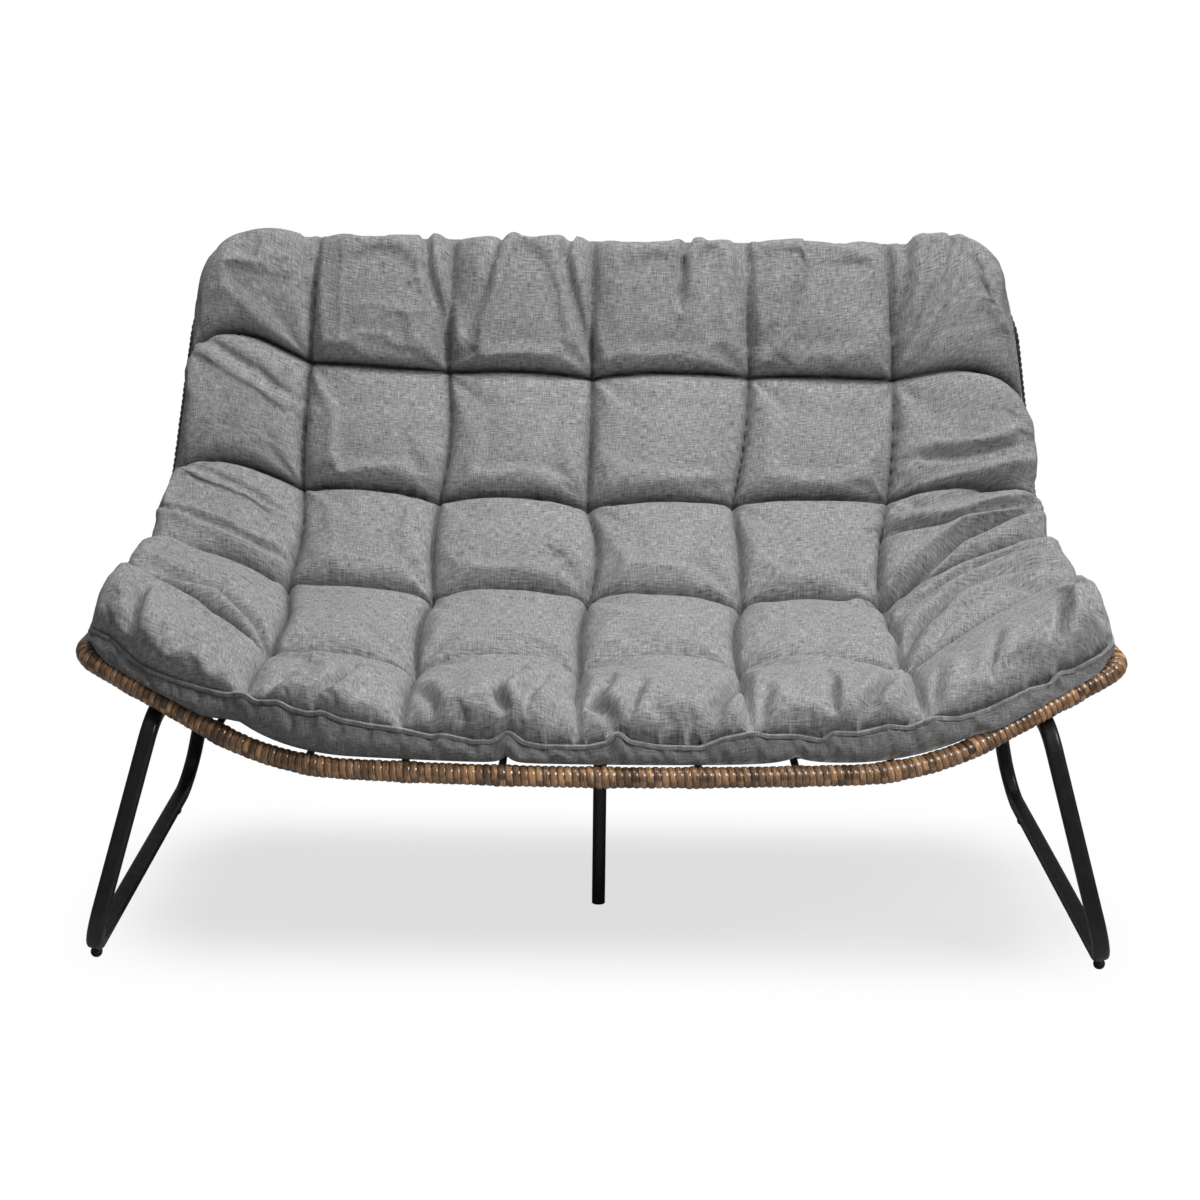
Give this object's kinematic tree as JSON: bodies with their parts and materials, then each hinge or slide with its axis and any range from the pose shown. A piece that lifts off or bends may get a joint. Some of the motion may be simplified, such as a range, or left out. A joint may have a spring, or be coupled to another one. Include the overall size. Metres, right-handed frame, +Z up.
{
  "type": "double papasan chair",
  "caption": "Two-seat papasan scoop with a wound rim over rods and a woven shell, splayed sled leg loops, a centre leg, levelling feet and one tufted cushion.",
  "frame": {"origin": "on the floor under the centre of the object's bounding box", "axes": "+X along the seat towards its right end seen from the front, +Y from the front to the back, +Z up"},
  "size_m": [1.4156, 0.8643, 0.9076],
  "materials": {
    "black_steel": "satin powder coat",
    "brown_rattan": "glossy strands of resin rattan",
    "dark_rattan": "semi-gloss strands of resin rattan",
    "zinc_steel": "zinc plated",
    "black_plastic": "matte",
    "grey_linen": "heathered linen weave"
  },
  "bodies": {
    "frame": {"seat_rim_tube": "black_steel", "back_rim_tube": "black_steel", "seat_rim_winding": "brown_rattan", "back_rim_winding": "dark_rattan", "rod_01": "black_steel", "rod_02": "black_steel", "rod_03": "black_steel", "rod_04": "black_steel", "rod_05": "black_steel", "rod_06": "black_steel", "rod_07": "black_steel", "rod_08": "black_steel", "rod_09": "black_steel", "rod_10": "black_steel", "rod_11": "black_steel", "seat_weave": "dark_rattan", "back_weave": "dark_rattan", "front_bearer": "black_steel", "rear_bearer": "black_steel", "leg_loop_left": "black_steel", "leg_loop_right": "black_steel", "loop_top_bar_left": "black_steel", "loop_top_bar_right": "black_steel", "carriage_bolts": "zinc_steel", "bolt_washers": "zinc_steel", "bolt_nuts": "zinc_steel", "leveller_inserts": "black_plastic", "centre_leg": "black_steel", "centre_leg_flange": "black_steel", "centre_leg_screws": "zinc_steel", "centre_leg_glide": "black_plastic"},
    "cushion": {"cushion": "grey_linen"},
    "leveller_front_left": {"leveller_foot_front_left": "black_plastic", "leveller_stud_front_left": "zinc_steel"},
    "leveller_front_right": {"leveller_foot_front_right": "black_plastic", "leveller_stud_front_right": "zinc_steel"},
    "leveller_rear_left": {"leveller_foot_rear_left": "black_plastic", "leveller_stud_rear_left": "zinc_steel"},
    "leveller_rear_right": {"leveller_foot_rear_right": "black_plastic", "leveller_stud_rear_right": "zinc_steel"}
  },
  "joints": [
    {"name": "cushion_lift", "type": "slide", "parent": "frame", "child": "cushion", "axis": [0, 0, 1], "range_m": [0, 0.3]},
    {"name": "leveller_travel_front_left", "type": "slide", "parent": "frame", "child": "leveller_front_left", "axis": [-0.2516, 0, -0.9678], "range_m": [0, 0.0075]},
    {"name": "leveller_travel_front_right", "type": "slide", "parent": "frame", "child": "leveller_front_right", "axis": [0.2516, 0, -0.9678], "range_m": [0, 0.0075]},
    {"name": "leveller_travel_rear_left", "type": "slide", "parent": "frame", "child": "leveller_rear_left", "axis": [-0.2516, 0, -0.9678], "range_m": [0, 0.0075]},
    {"name": "leveller_travel_rear_right", "type": "slide", "parent": "frame", "child": "leveller_rear_right", "axis": [0.2516, 0, -0.9678], "range_m": [0, 0.0075]}
  ]
}
